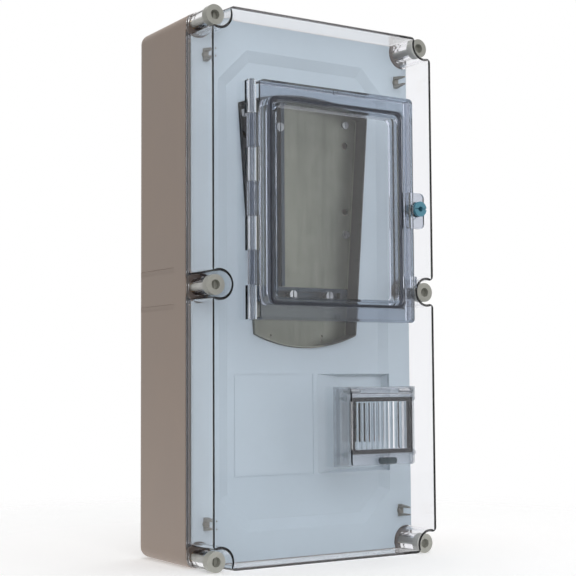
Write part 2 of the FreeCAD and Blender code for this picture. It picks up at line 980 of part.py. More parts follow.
def build_pan():
    rim = behind("plate_depth - pan_rise")
    floor = behind("pan_floor_depth")
    back = f"{floor} + pan_sheet"
    outer = meter_outline("pan_outer", "pan_gap", (rim, back))
    inner = meter_outline("pan_inner", "pan_gap + pan_sheet", (f"{rim} - {OVER}", floor))
    through = (f"{floor} - {OVER}", f"{back} + {OVER}")
    cuts = [inner]
    for x, z in pan_screw_axes():
        cuts.append(rod("pan_screw_hole", "screw_radius + thread_play", ALONG_Y, through, x, z))
    for sign in SIDES:
        x = side(sign, "pan_hole_across")
        for z in ("pan_hole_top - pan_hole_step", "pan_hole_low + pan_hole_low_step"):
            cuts.append(rod("pan_round_hole", "pan_hole_radius", ALONG_Y, through, x, z))
        for step in range(2):
            z = f"pan_dot_level - {step}*pan_dot_step"
            cuts.append(rod("pan_dot", "pan_dot_radius", ALONG_Y, through, side(sign, "pan_dot_across"), z))
    for x in ("crossbar_bolt_left", "crossbar_bolt_right"):
        cuts.append(rod("pan_bar_hole", "bolt_radius + thread_play", ALONG_Y, through, x, "crossbar_level"))
    cuts.append(
        rod(
            "pan_hanger_hole",
            "bolt_radius + thread_play",
            ALONG_Y,
            through,
            "hanger_centre",
            "hanger_bolt_level",
        )
    )
    return less("meter_pan", outer, cuts)


def slotted_screw(name, axis_x, axis_z, seat, head_radius, rise, radius, length):
    """A round-headed screw along Y with a slot across its head; seat is the y under its head."""
    head = rod(name + "_head", head_radius, ALONG_Y, (f"{seat} - ({rise})", seat), axis_x, axis_z)
    shank = rod(
        name + "_shank",
        radius,
        ALONG_Y,
        (f"{seat} - ({rise})/2", f"{seat} + ({length})"),
        axis_x,
        axis_z,
    )
    slot = box(
        name + "_slot",
        (f"{axis_x} - ({head_radius})/7", f"{axis_x} + ({head_radius})/7"),
        (f"{seat} - ({rise}) - {OVER}", f"{seat} - ({rise})/2"),
        (f"{axis_z} - ({head_radius}) - {OVER}", f"{axis_z} + ({head_radius}) + {OVER}"),
    )
    return less(name, join(name + "_body", [head, shank]), [slot])


def build_pan_screws():
    seat = behind("pan_floor_depth")
    screws = [
        slotted_screw(
            "pan_screw",
            x,
            z,
            seat,
            "screw_head_radius",
            "screw_head_height",
            "screw_radius",
            "screw_length - 1",
        )
        for x, z in pan_screw_axes()
    ]
    return bundle("meter_pan_screws", screws)


def build_hanger_rail():
    floor = behind("pan_floor_depth")
    face = f"{floor} - hanger_depth"
    low = "crossbar_level + crossbar_height/2 + rail_gap"
    half = "hanger_width/2"
    body = box(
        "hanger_body",
        (f"hanger_centre - {half}", f"hanger_centre + {half}"),
        (face, floor),
        (low, "hanger_top"),
    )
    hollow = box(
        "hanger_hollow",
        (f"hanger_centre - {half} + rail_sheet", f"hanger_centre + {half} - rail_sheet"),
        (f"{face} + rail_sheet", f"{floor} - rail_sheet"),
        (f"{low} - {OVER}", f"hanger_top + {OVER}"),
    )
    slot = box(
        "hanger_slot_cut",
        ("hanger_centre - hanger_slot/2", "hanger_centre + hanger_slot/2"),
        (f"{face} - {OVER}", f"{face} + {OVER}"),
        (f"{low} - {OVER}", f"hanger_top + {OVER}"),
    )
    hole = rod(
        "hanger_bolt_way", "bolt_radius + thread_play", ALONG_Y, (f"{floor} - {OVER}", f"{floor} + {OVER}"),
        "hanger_centre", "hanger_bolt_level",
    )
    return less("hanger_rail", body, [hollow, slot, hole])


def build_hanger_bolt():
    seat = f"{behind('pan_floor_depth')} - hanger_depth"
    return slotted_screw(
        "hanger_bolt", "hanger_centre", "hanger_bolt_level", seat,
        "bolt_head_radius", "bolt_head_height", "bolt_radius", "hanger_depth + pan_sheet + 3",
    )


def build_crossbar():
    floor = behind("pan_floor_depth")
    face = f"{floor} - crossbar_depth"
    half = "crossbar_height/2"
    body = box(
        "crossbar_body",
        ("-crossbar_half", "crossbar_half"),
        (face, floor),
        (f"crossbar_level - {half}", f"crossbar_level + {half}"),
    )
    hollow = box(
        "crossbar_hollow",
        ("-crossbar_half + crossbar_end", "crossbar_half - crossbar_end"),
        (f"{face} + rail_sheet", f"{floor} - rail_sheet"),
        (f"crossbar_level - {half} + rail_sheet", f"crossbar_level + {half} - rail_sheet"),
    )
    slot = box(
        "crossbar_slot_cut",
        ("-crossbar_half + crossbar_end", "crossbar_half - crossbar_end"),
        (f"{face} - {OVER}", f"{face} + {OVER}"),
        ("crossbar_level - crossbar_slot/2", "crossbar_level + crossbar_slot/2"),
    )
    ways = [
        rod(
            "crossbar_bolt_way",
            "bolt_radius + thread_play",
            ALONG_Y,
            (f"{floor} - {OVER}", f"{floor} + {OVER}"),
            x,
            "crossbar_level",
        )
        for x in ("crossbar_bolt_left", "crossbar_bolt_right")
    ]
    return less("crossbar", body, [hollow, slot] + ways)


def build_crossbar_bolts():
    seat = f"{behind('pan_floor_depth')} - crossbar_depth"
    bolts = [
        slotted_screw(
            "crossbar_bolt", x, "crossbar_level", seat,
            "bolt_head_radius", "bolt_head_height", "bolt_radius", "crossbar_depth + pan_sheet + 3",
        )
        for x in ("crossbar_bolt_left", "crossbar_bolt_right")
    ]
    return bundle("crossbar_bolts", bolts)


# Breaker rail

def din_screw_axes():
    return ("din_left + din_screw_inset", "din_right - din_screw_inset")


def build_din_rail():
    x = ("din_left", "din_right")
    face = behind("din_depth")
    back = behind("din_depth + din_hat")
    parts = [
        box(
            "din_back",
            x,
            (f"{back} - din_sheet", back),
            ("din_level - din_web/2", "din_level + din_web/2"),
        )
    ]
    for sign in SIDES:
        wall = [
            f"din_level + {side(sign, 'din_web/2 - din_sheet')}",
            f"din_level + {side(sign, 'din_web/2')}",
        ]
        lip = [
            f"din_level + {side(sign, 'din_web/2 - din_sheet')}",
            f"din_level + {side(sign, 'din_height/2')}",
        ]
        parts.append(box("din_wall", x, (face, back), wall[::sign]))
        parts.append(box("din_lip", x, (face, f"{face} + din_sheet"), lip[::sign]))
    ways = [
        rod(
            "din_screw_way",
            "screw_radius + thread_play",
            ALONG_Y,
            (f"{back} - din_sheet - {OVER}", f"{back} + {OVER}"),
            at,
            "din_level",
        )
        for at in din_screw_axes()
    ]
    return less("din_rail", join("din_whole", parts), ways)


def build_din_screws():
    seat = behind("din_depth + din_hat - din_sheet")
    screws = [
        slotted_screw(
            "din_screw",
            x,
            "din_level",
            seat,
            "screw_head_radius",
            "screw_head_height",
            "screw_radius",
            "screw_length - 1",
        )
        for x in din_screw_axes()
    ]
    return bundle("din_rail_screws", screws)


# Large window with its hinge rod, seal and barrel latch

WINDOW_FACE = before("window_front")
WINDOW_BACK = before("window_front - window_pane")


def build_window():
    wide = ("window_left", "window_right")
    tall = ("window_bottom", "window_top")
    block = soft_box("window_block", wide, (WINDOW_FACE, before("window_lift")), tall, "window_corner")
    hollow = box(
        "window_hollow",
        (f"window_left - {OVER}", "window_right - window_skirt"),
        (WINDOW_BACK, before("window_lift - 2")),
        ("window_bottom + window_skirt", "window_top - window_skirt"),
    )
    cup = less("window_cup", block, [hollow])
    bezel_y = (before("window_front + bezel_height"), before("window_front - window_pane/2"))
    bezel_over = (before("window_front + bezel_height + 2"), before("window_front - window_pane"))
    ring = soft_box(
        "bezel_outer",
        ("opening_left - bezel_width", "opening_right + bezel_width"),
        bezel_y,
        ("opening_bottom - bezel_width", "opening_top + bezel_width"),
        "opening_corner",
    )
    hole = soft_box(
        "bezel_inner", (
            "opening_left", "opening_right"
        ), bezel_over, ("opening_bottom", "opening_top"), "opening_corner"
    )
    lug_y = (before("window_front - window_pane"), before("window_front - window_pane - lug_thickness"))
    lug = soft_box(
        "latch_lug",
        ("window_right - lug_corner - window_skirt", "lug_right"),
        lug_y,
        ("lug_low", "lug_high"),
        "lug_corner",
    )
    tab = box(
        "finger_tab",
        ("window_right - window_skirt", "window_right + tab_reach"),
        lug_y,
        ("tab_level - tab_height/2", "tab_level + tab_height/2"),
    )
    extras = [cup, less("bezel", ring, [hole]), lug, tab, inner_flange()]
    for z in ("window_top - eye_inset", "window_bottom + eye_inset"):
        extras.append(
            rod(
                "seal_eye",
                "eye_radius",
                ALONG_Y,
                (before("window_front + eye_height"), WINDOW_BACK),
                "eye_across",
                z,
            )
        )
    for span in lid_knuckle_spans()[1::2]:
        extras.append(rod("window_knuckle", "knuckle_radius", ALONG_Z, span, "hinge_across", HINGE_Y))
        extras.append(
            box("window_knuckle_web", ("hinge_across", "window_left + 1"), (WINDOW_FACE, HINGE_Y), span)
        )
    cuts = [
        rod(
            "window_pin_bore", "pin_radius + pin_play", ALONG_Z,
            (f"window_bottom - {OVER}", f"window_top + {OVER}"), "hinge_across", HINGE_Y,
        ),
        rod(
            "latch_bore", "latch_radius + latch_play", ALONG_Y,
            (f"{lug_y[0]} - {OVER}", f"{lug_y[1]} + {OVER}"), "latch_across", "latch_level",
        ),
    ]
    return less("meter_window", join("window_whole", extras), cuts)


def inner_flange():
    """The wall behind the pane that drops into the lid's opening."""
    y = (before("window_front - window_pane/2"), before("window_front - window_pane - flange_reach"))
    over = (WINDOW_BACK, f"{y[1]} + {OVER}")
    rings = []
    for name, inset, run in (
        ("flange_outer", "flange_gap", y), ("flange_inner", "flange_gap + flange_wall", over)
    ):
        rings.append(
            soft_box(
                name,
                (f"opening_left + {inset}", f"opening_right - ({inset})"),
                run,
                (f"opening_bottom + {inset}", f"opening_top - ({inset})"),
                "opening_corner",
            )
        )
    return less("window_flange", rings[0], rings[1:])


def build_window_seal():
    y = (WINDOW_BACK, before("collar_front + seal_play"))
    over = (f"{y[0]} - {OVER}", f"{y[1]} + {OVER}")
    outer = soft_box(
        "seal_outer",
        ("opening_left - collar_wall", "opening_right + collar_wall"),
        y,
        ("opening_bottom - collar_wall", "opening_top + collar_wall"),
        "opening_corner",
    )
    inner = soft_box(
        "seal_inner",
        ("opening_left", "opening_right"),
        over,
        ("opening_bottom", "opening_top"),
        "opening_corner",
    )
    return less("meter_window_seal", outer, [inner])


def build_window_pin():
    return rod(
        "meter_window_pin",
        "pin_radius",
        ALONG_Z,
        ("window_bottom", "window_top"),
        "hinge_across",
        HINGE_Y,
    )


def build_latch():
    seat = before("window_front - window_pane")
    top = f"{seat} - latch_head_height"
    head = rod("latch_head", "latch_head_radius", ALONG_Y, (top, seat), "latch_across", "latch_level")
    barrel = rod(
        "latch_barrel",
        "latch_radius",
        ALONG_Y,
        (top, behind("latch_reach")),
        "latch_across",
        "latch_level",
    )
    socket = rod(
        "latch_socket", "latch_socket_radius", ALONG_Y, (f"{top} - {OVER}", f"{top} + latch_socket_depth"),
        "latch_across", "latch_level",
    )
    slot = box(
        "latch_slot",
        ("latch_across - latch_head_radius - 1", "latch_across + latch_head_radius + 1"),
        (f"{top} - {OVER}", f"{top} + latch_slot_width"),
        ("latch_level - latch_slot_width/2", "latch_level + latch_slot_width/2"),
    )
    return less("meter_window_latch", join("latch_whole", [head, barrel]), [socket, slot])


def ring_on_shaft(name, radius, y, x, z):
    tube = rod(name + "_tube", f"({radius}) + ring_width", ALONG_Y, y, x, z)
    bore = rod(name + "_bore", radius, ALONG_Y, (f"{y[0]} - {OVER}", f"{y[1]} + {OVER}"), x, z)
    return less(name, tube, [bore])


def build_latch_ring():
    start = before("window_front - window_pane - lug_thickness - ring_gap")
    return ring_on_shaft(
        "meter_window_latch_ring",
        "latch_radius",
        (start, f"{start} + ring_thickness"),
        "latch_across",
        "latch_level",
    )


# Small window over the breakers

FLAP_FACE = before("flap_front")
FLAP_BACK = before("flap_front - flap_pane")
FLAP_AXIS_Y = before("flap_axis_forward")
SEAL_SEAT = before("frame_flange + rim_collar_height")


def lens_box(name, grow, y):
    return soft_box(
        name,
        (f"lens_left - ({grow})", f"lens_right + ({grow})"),
        y,
        (f"lens_bottom - ({grow})", f"lens_top + ({grow})"),
        "frame_corner",
    )


def build_breaker_frame():
    flange = soft_box(
        "frame_flange_plate", ("frame_left", "frame_right"), (
            before("frame_flange"), FRONT
        ), ("frame_bottom", "frame_top"), "frame_corner"
    )
    column = less(
        "frame_column",
        box(
            "frame_column_block",
            ("frame_left", "column_right"),
            (before("column_height"), FRONT),
            ("frame_bottom", "frame_top"),
        ),
        [
            box(
                "frame_column_room",
                ("frame_left + column_wall", "column_right - column_wall"),
                (before("column_height - column_wall"), before("frame_flange")),
                ("frame_bottom + column_wall", "frame_top - column_wall"),
            )
        ],
    )
    bosses = [
        rod(
            "column_boss_rod",
            "column_boss",
            ALONG_Y,
            (before("column_height - column_wall/2"), before("frame_flange/2")),
            x,
            z,
        )
        for x, z in list(frame_screw_axes())[:2]
    ]
    bosses.append(
        rod(
            "pin_boss", "column_boss", ALONG_X, (
                "frame_left + column_wall/2", "column_right - column_wall/2"
            ),
            FLAP_AXIS_Y, "flap_axis_level",
        )
    )
    cheek = box(
        "frame_cheek", ("cheek_left", "cheek_right"), (before("cheek_height"), FRONT),
        ("flap_axis_level - cheek_half", "flap_axis_level + cheek_half"),
    )
    rail = box(
        "frame_cheek_rail", ("cheek_left", "cheek_right"), (
            before("rim_collar_height + frame_flange"), FRONT
        ), ("frame_bottom", "frame_top")
    )
    collar = lens_box("frame_collar", "rim_seal_width", (SEAL_SEAT, FRONT))
    striker = box(
        "striker",
        ("flap_knob_across - striker_half", "flap_knob_across + striker_half"),
        (before("frame_flange + striker_height"), FRONT),
        ("frame_bottom", "flap_knob_level + striker_half/2"),
    )
    cuts = [lens_box("frame_opening", "0", (before("frame_flange + rim_collar_height + 2"), behind("1")))]
    cuts.append(
        rod(
            "striker_hole",
            "flap_shaft_radius + striker_gap",
            ALONG_Y,
            (before("frame_flange + striker_height + 2"), before("1")),
            "flap_knob_across",
            "flap_knob_level",
        )
    )
    for x, z in frame_screw_axes():
        cuts.append(
            rod(
                "frame_screw_way",
                "frame_screw_radius + thread_play",
                ALONG_Y,
                (before("column_height + 1"), behind("1")),
                x,
                z,
            )
        )
    for span in flap_pin_spans():
        cuts.append(rod("frame_pin_bore", "flap_pin_radius", ALONG_X, span, FLAP_AXIS_Y, "flap_axis_level"))
    return less(
        "breaker_frame",
        join("frame_whole", [flange, column, cheek, rail, collar, striker] + bosses),
        cuts,
    )


def flap_pin_spans():
    left = "column_right - flap_pin_length/3"
    right = "cheek_right"
    return ((left, f"{left} + flap_pin_length"), (f"{right} - flap_pin_length", right))


def build_flap_pins():
    pins = [
        rod(
            "flap_pin", "flap_pin_radius", ALONG_X, span, FLAP_AXIS_Y, "flap_axis_level"
        ) for span in flap_pin_spans()
    ]
    return bundle("breaker_flap_pins", pins)


def build_frame_screws():
    seats = (before("column_height"), before("frame_flange"))
    lengths = ("column_height + frame_screw_reach", "frame_flange + frame_screw_reach")
    screws = []
    for number, (x, z) in enumerate(frame_screw_axes()):
        place_at = number // 2
        screws.append(
            slotted_screw(
                "frame_screw", x, z, seats[place_at],
                "frame_screw_head", "frame_screw_rise", "frame_screw_radius", lengths[place_at],
            )
        )
    return bundle("breaker_frame_screws", screws)


def build_breaker_seal():
    y = (f"{SEAL_SEAT} - rim_seal_height", SEAL_SEAT)
    outer = lens_box("rim_seal_outer", "rim_seal_width", y)
    inner = lens_box("rim_seal_inner", "0", (f"{y[0]} - {OVER}", f"{y[1]} + {OVER}"))
    return less("breaker_seal", outer, [inner])


def build_flap():
    pane = soft_box(
        "flap_pane_block",
        ("flap_left", "flap_right"),
        (FLAP_FACE, FLAP_BACK),
        ("flap_bottom", "flap_axis_level"),
        "frame_corner",
    )
    barrel = rod(
        "flap_barrel_rod",
        "flap_barrel",
        ALONG_X,
        ("flap_left", "flap_right"),
        FLAP_AXIS_Y,
        "flap_axis_level",
    )
    parts = [pane, barrel]
    count = int(size("flute_count"))
    centre = f"{FLAP_FACE} - flute_rise + flute_radius"
    window = box(
        "flute_window",
        ("lens_left", "lens_right"),
        (before("flap_front + flute_rise + 1"), before("flap_front - 1")),
        ("lens_bottom", "lens_top"),
    )
    flutes = []
    for k in range(count):
        x = f"lens_left + (lens_right - lens_left)*{2 * k + 1}/(2*flute_count)"
        flutes.append(
            rod(
                "flute",
                "flute_radius",
                ALONG_Z,
                (f"lens_bottom - {OVER}", f"lens_top + {OVER}"),
                x,
                centre,
            )
        )
    parts.append(shared("flute_field", [join("flute_row", flutes), window]))
    cuts = [
        rod(
            "flap_shaft_bore",
            "flap_shaft_radius + pin_play",
            ALONG_Y,
            (f"{FLAP_FACE} - {OVER}", f"{FLAP_BACK} + {OVER}"),
            "flap_knob_across",
            "flap_knob_level",
        )
    ]
    for span in flap_pin_spans():
        cuts.append(
            rod(
                "flap_pin_bore",
                "flap_pin_radius + pin_play",
                ALONG_X,
                (f"{span[0]} - 1", f"{span[1]} + 1"),
                FLAP_AXIS_Y,
                "flap_axis_level",
            )
        )
    return less("breaker_flap", join("flap_whole", parts), cuts)


def build_flap_latch():
    y = (f"{FLAP_FACE} - flap_knob_height", FLAP_FACE)
    bar_half = "flap_knob_half - flap_knob_radius"
    parts = [
        box("knob_bar", (f"flap_knob_across - ({bar_half})", f"flap_knob_across + {bar_half}"), y,
            ("flap_knob_level - flap_knob_radius", "flap_knob_level + flap_knob_radius"))
    ]
    for sign in SIDES:
        parts.append(
            rod(
                "knob_end",
                "flap_knob_radius",
                ALONG_Y,
                y,
                f"flap_knob_across + {side(sign, bar_half)}",
                "flap_knob_level",
            )
        )
    shaft_end = before("flap_shaft_reach")
    parts.append(
        rod(
            "knob_shaft",
            "flap_shaft_radius",
            ALONG_Y,
            (y[0], shaft_end),
            "flap_knob_across",
            "flap_knob_level",
        )
    )
    return join("breaker_flap_latch", parts)


def build_flap_latch_ring():
    start = f"{FLAP_BACK} + ring_gap"
    return ring_on_shaft(
        "breaker_flap_latch_ring",
        "flap_shaft_radius",
        (start, f"{start} + ring_thickness"),
        "flap_knob_across",
        "flap_knob_level",
    )


NODES = [
    build_base(),
    build_inserts(),
    build_gasket(),
    build_lid(),
    build_cover_screws(),
    build_faceplate(),
    build_clips(),
    build_pan(),
    build_pan_screws(),
    build_hanger_rail(),
    build_hanger_bolt(),
    build_crossbar(),
    build_crossbar_bolts(),
    build_din_rail(),
    build_din_screws(),
    build_window(),
    build_window_seal(),
    build_window_pin(),
    build_latch(),
    build_latch_ring(),
    build_breaker_frame(),
    build_frame_screws(),
    build_breaker_seal(),
    build_flap_pins(),
    build_flap(),
    build_flap_latch(),
    build_flap_latch_ring(),
]

doc.recompute()
for item in doc.Objects:
    if "Invalid" in item.State or "Error" in item.State:
        raise RuntimeError(f"{item.Label}: {item.State}")

os.makedirs("parts", exist_ok=True)
for node in NODES:
    shape = node.Shape
    if shape.isNull() or not shape.isValid() or not shape.Solids:
        raise RuntimeError(f"{node.Label} has no valid shape")
    shape.exportStep(os.path.join("parts", node.Label + ".step"))
    print(node.Label, len(shape.Solids), round(shape.Volume / 1000.0, 2))
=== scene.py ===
import math
import bpy
from mathutils import Matrix, Vector

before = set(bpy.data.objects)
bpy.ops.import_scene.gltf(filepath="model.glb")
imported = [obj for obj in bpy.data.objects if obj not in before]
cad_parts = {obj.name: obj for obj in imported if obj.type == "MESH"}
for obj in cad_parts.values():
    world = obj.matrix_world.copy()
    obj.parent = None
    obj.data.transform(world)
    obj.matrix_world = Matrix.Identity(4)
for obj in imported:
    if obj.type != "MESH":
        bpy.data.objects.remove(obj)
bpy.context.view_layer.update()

WHITE = (1.0, 1.0, 1.0, 1.0)
NOISE_LOW = 0.3
NOISE_HIGH = 0.7

# Places on the part, in metres: a pane is left, right, bottom, top, and a step is from 0 to 1
METER_PANE = (-0.0775, 0.084, -0.0125, 0.1945)
PANE_STEP = (-0.0005, 0.0005)
# The pan steps place its painted shade: darkened right and top walls, and a darkened floor strip along the
# left edge
PAN_RIGHT_STEP = (0.02, 0.025)
PAN_TOP_STEP = (0.19, 0.195)
PAN_WALL_STEP = (-0.1042, -0.1047)
PAN_LEFT_STEP = (-0.045, -0.06)
PAN_LOW_STEP = (-0.035, -0.02)

# Clear plastic: the indices are lower than polycarbonate's, to keep white reflections faint
DEPTH_TINT = (0.32, 0.33, 0.40, 1.0)
SHADOW_TINT = (0.93, 0.93, 0.94, 1.0)
LID_TINT = (0.97, 0.97, 0.98, 1.0)
FLAP_TINT = (0.96, 0.96, 0.98, 1.0)
CLEAR_ROUGHNESS = 0.01
LID_INDEX = 1.34
WINDOW_INDEX = 1.38
LID_DENSITY = 6.0
WINDOW_DENSITY = 14.0

# Eased edges
EDGE_SEGMENTS = 2
EDGE_ANGLE = math.radians(40.0)

# Stage
FLOOR_Z = -0.3002
FLOOR_SIZE = 4.0
FLOOR_COLOUR = (0.9, 0.9, 0.9, 1.0)
FLOOR_ROUGHNESS = 0.9
FLOOR_GLOW = 0.3
FLOOR_FADE_STEP = (0.25, 0.8)
WORLD_LIGHT = 0.34
WORLD_WHITE = 1.0

# The photo's camera
CAMERA_PLACE = (-0.8457, -1.3713, -0.1015)
CAMERA_YAW = math.radians(33.35)
CAMERA_PITCH = math.radians(3.97)
CAMERA_ROLL = math.radians(-0.34)
CAMERA_SENSOR = 36.0
CAMERA_LENS = 83.54
CAMERA_NEAR = 0.05


def node(name):
    return bpy.data.objects[name]


def srgb(red, green, blue):
    """A colour given in display values of 0 to 255, as linear light."""
    def linear(value):
        value = value / 255.0
        return value / 12.92 if value <= 0.04045 else ((value + 0.055) / 1.055) ** 2.4
    return (linear(red), linear(green), linear(blue), 1.0)


def scaled(colour, factor):
    return tuple(channel * factor for channel in colour[:3]) + (1.0,)


def new_material(name):
    material = bpy.data.materials.new(name)
    material.use_nodes = True
    tree = material.node_tree
    return material, tree, tree.nodes["Principled BSDF"]


def texture_space(tree, scale=(1.0, 1.0, 1.0)):
    """Object coordinates, stretched by scale."""
    coordinates = tree.nodes.new("ShaderNodeTexCoord")
    mapping = tree.nodes.new("ShaderNodeMapping")
    mapping.inputs["Scale"].default_value = scale
    tree.links.new(coordinates.outputs["Object"], mapping.inputs["Vector"])
    return mapping.outputs["Vector"]


def noise(tree, vector, scale, detail=3.0, roughness=0.5):
    item = tree.nodes.new("ShaderNodeTexNoise")
    item.inputs["Scale"].default_value = scale
    item.inputs["Detail"].default_value = detail
    item.inputs["Roughness"].default_value = roughness
    tree.links.new(vector, item.inputs["Vector"])
    return item.outputs["Fac"]


def ramp(tree, source, stops):
    item = tree.nodes.new("ShaderNodeValToRGB")
    elements = item.color_ramp.elements
    while len(elements) < len(stops):
        elements.new(0.5)
    for element, (position, colour) in zip(elements, stops):
        element.position = position
        element.color = colour
    tree.links.new(source, item.inputs["Fac"])
    return item.outputs["Color"]


def spread(tree, source, low, high, to_low, to_high):
    item = tree.nodes.new("ShaderNodeMapRange")
    item.inputs["From Min"].default_value = low
    item.inputs["From Max"].default_value = high
    item.inputs["To Min"].default_value = to_low
    item.inputs["To Max"].default_value = to_high
    tree.links.new(source, item.inputs["Value"])
    return item.outputs["Result"]


def rise(tree, source, step):
    """0 before the step and 1 past it."""
    return spread(tree, source, step[0], step[1], 0.0, 1.0)


def grain(tree, shader, source, strength, distance):
    bump = tree.nodes.new("ShaderNodeBump")
    bump.inputs["Strength"].default_value = strength
    bump.inputs["Distance"].default_value = distance
    tree.links.new(source, bump.inputs["Height"])
    tree.links.new(bump.outputs["Normal"], shader.inputs["Normal"])


def dress(tree, shader, source, colour, shades, gloss):
    """Let shade and roughness follow one noise, between a low and a high end each."""
    stops = [(NOISE_LOW, scaled(colour, shades[0])), (NOISE_HIGH, scaled(colour, shades[1]))]
    shade = ramp(tree, source, stops)
    tree.links.new(shade, shader.inputs["Base Color"])
    rough = spread(tree, source, NOISE_LOW, NOISE_HIGH, gloss[0], gloss[1])
    tree.links.new(rough, shader.inputs["Roughness"])
    return shade


def calculate(tree, operation, first, second, third=None):
    """One step of arithmetic, on sockets or plain numbers."""
    item = tree.nodes.new("ShaderNodeMath")
    item.operation = operation
    for socket, value in zip(item.inputs, (first, second, third)):
        if isinstance(value, (int, float)):
            socket.default_value = value
        elif value is not None:
            tree.links.new(value, socket)
    return item.outputs["Value"]


def blend(tree, factor, first, second):
    """A mix of two colours, on sockets or plain colours."""
    item = tree.nodes.new("ShaderNodeMix")
    item.data_type = "RGBA"
    for key, colour in (("A", first), ("B", second)):
        if isinstance(colour, tuple):
            item.inputs[key].default_value = colour
        else:
            tree.links.new(colour, item.inputs[key])
    tree.links.new(factor, item.inputs["Factor"])
    return item.outputs["Result"]


def mix_shaders(tree, factor, first, second, surface):
    mix = tree.nodes.new("ShaderNodeMixShader")
    tree.links.new(factor, mix.inputs["Fac"])
    tree.links.new(first, mix.inputs[1])
    tree.links.new(second, mix.inputs[2])
    tree.links.new(mix.outputs["Shader"], surface)


def parts_of(tree, vector):
    item = tree.nodes.new("ShaderNodeSeparateXYZ")
    tree.links.new(vector, item.inputs["Vector"])
    return item.outputs["X"], item.outputs["Y"], item.outputs["Z"]


def away_from(tree, value, low, high):
    """How far a coordinate lies outside the span from low to high."""
    centre = (low + high) / 2
    offset = calculate(tree, "ABSOLUTE", calculate(tree, "SUBTRACT", value, centre), 0.0)
    return calculate(tree, "SUBTRACT", offset, (high - low) / 2)


def outside_pane(tree, vector, pane):
    """1 on the border of a window, 0 on its pane."""
    x, _, z = parts_of(tree, vector)
    across = away_from(tree, x, pane[0], pane[1])
    along = away_from(tree, z, pane[2], pane[3])
    return rise(tree, calculate(tree, "MAXIMUM", across, along), PANE_STEP)


def where_shade_is_painted(tree):
    """1 where shade is painted on the pan (its right and top walls, and its floor along the left edge),
    else 0.
    """
    x, y, z = parts_of(tree, texture_space(tree))
    far_side = calculate(tree, "MAXIMUM", rise(tree, x, PAN_RIGHT_STEP), rise(tree, z, PAN_TOP_STEP))
    wall = calculate(tree, "MULTIPLY", far_side, rise(tree, y, PAN_WALL_STEP))
    left = calculate(tree, "MULTIPLY", rise(tree, x, PAN_LEFT_STEP), rise(tree, z, PAN_LOW_STEP))
    return calculate(tree, "MAXIMUM", wall, left)


def moulded(name, colour, roughness, variation=0.06, grain_scale=900.0, grain_strength=0.08):
    """A moulded plastic: fine grain, with slow changes of shade and gloss."""
    material, tree, shader = new_material(name)
    space = texture_space(tree)
    cloud = noise(tree, space, 9.0, 4.0)
    fine = noise(tree, space, grain_scale, 2.0)
    shades = (1.0 - variation, 1.0 + variation)
    dress(tree, shader, cloud, colour, shades, (roughness - 0.05, roughness + 0.06))
    grain(tree, shader, fine, grain_strength, 0.0004)
    return material


def clear_plastic(name, colour, index, density, satin=None, pane=None):
    """Clear polycarbonate that lets lamp light through to what lies behind it.

    satin is the tint and added roughness of the border around pane, where the part is a window.
    """
    material, tree, shader = new_material(name)
    output = tree.nodes["Material Output"]
    shader.inputs["Base Color"].default_value = colour
    shader.inputs["Transmission Weight"].default_value = 1.0
    shader.inputs["IOR"].default_value = index
    space = texture_space(tree)
    smear = noise(tree, space, 14.0, 4.0, 0.6)
    gloss = spread(tree, smear, 0.35, 0.75, CLEAR_ROUGHNESS, CLEAR_ROUGHNESS + 0.03)
    if satin:
        border = outside_pane(tree, space, pane)
        tree.links.new(blend(tree, border, colour, satin[0]), shader.inputs["Base Color"])
        gloss = calculate(tree, "MULTIPLY_ADD", border, satin[1], gloss)
    tree.links.new(gloss, shader.inputs["Roughness"])
    wave = noise(tree, space, 22.0, 2.0)
    grain(tree, shader, wave, 0.05, 0.001)
    depth = tree.nodes.new("ShaderNodeVolumeAbsorption")
    depth.inputs["Color"].default_value = DEPTH_TINT
    depth.inputs["Density"].default_value = density
    tree.links.new(depth.outputs["Volume"], output.inputs["Volume"])
    shadow = tree.nodes.new("ShaderNodeLightPath").outputs["Is Shadow Ray"]
    open_way = tree.nodes.new("ShaderNodeBsdfTransparent")
    open_way.inputs["Color"].default_value = SHADOW_TINT
    mix_shaders(tree, shadow, shader.outputs["BSDF"], open_way.outputs["BSDF"], output.inputs["Surface"])
    return material


def thin_clear(name, colour, alpha, roughness):
    """Clear plastic seen as a pale film, for pieces that lie flat on another clear piece."""
    material, tree, shader = new_material(name)
    cloud = noise(tree, texture_space(tree), 30.0, 3.0)
    dress(tree, shader, cloud, colour, (0.92, 1.06), (roughness, roughness + 0.06))
    shader.inputs["Alpha"].default_value = alpha
    return material


def sheet_metal(name, colour, roughness, stretch, scale, painted_shade=None):
    """Metal with streaks along the rolling direction and soft spangle; on the pan, painted shade makes the
    walls and a floor strip darker and not metallic.
    """
    material, tree, shader = new_material(name)
    shader.inputs["Metallic"].default_value = 1.0
    streaks = noise(tree, texture_space(tree, stretch), scale, 4.0, 0.6)
    spangle = noise(tree, texture_space(tree), 60.0, 3.0)
    both = calculate(tree, "MULTIPLY_ADD", streaks, 0.6, spread(tree, spangle, 0.0, 1.0, 0.0, 0.4))
    shade = dress(tree, shader, both, colour, (0.84, 1.12), (roughness + 0.08, roughness - 0.06))
    # Painted shade: the pan's walls and its floor along the left edge take a darkened colour and lose their
    # metal gloss
    if painted_shade:
        painted_shade_mask = where_shade_is_painted(tree)
        tree.links.new(blend(tree, painted_shade_mask, shade, painted_shade), shader.inputs["Base Color"])
        tree.links.new(calculate(tree, "SUBTRACT", 1.0, painted_shade_mask), shader.inputs["Metallic"])
    grain(tree, shader, streaks, 0.01, 0.0001)
    return material


def rubber(name, colour):
    material, tree, shader = new_material(name)
    fine = noise(tree, texture_space(tree), 500.0, 3.0)
    dress(tree, shader, fine, colour, (0.8, 1.25), (0.55, 0.72))
    grain(tree, shader, fine, 0.12, 0.0004)
    return material


SATIN = (srgb(204, 209, 218), 0.08)
# Colour of the painted shade on the pan's walls and on its floor along the left edge
PAN_PAINTED_SHADE = srgb(30, 30, 29)

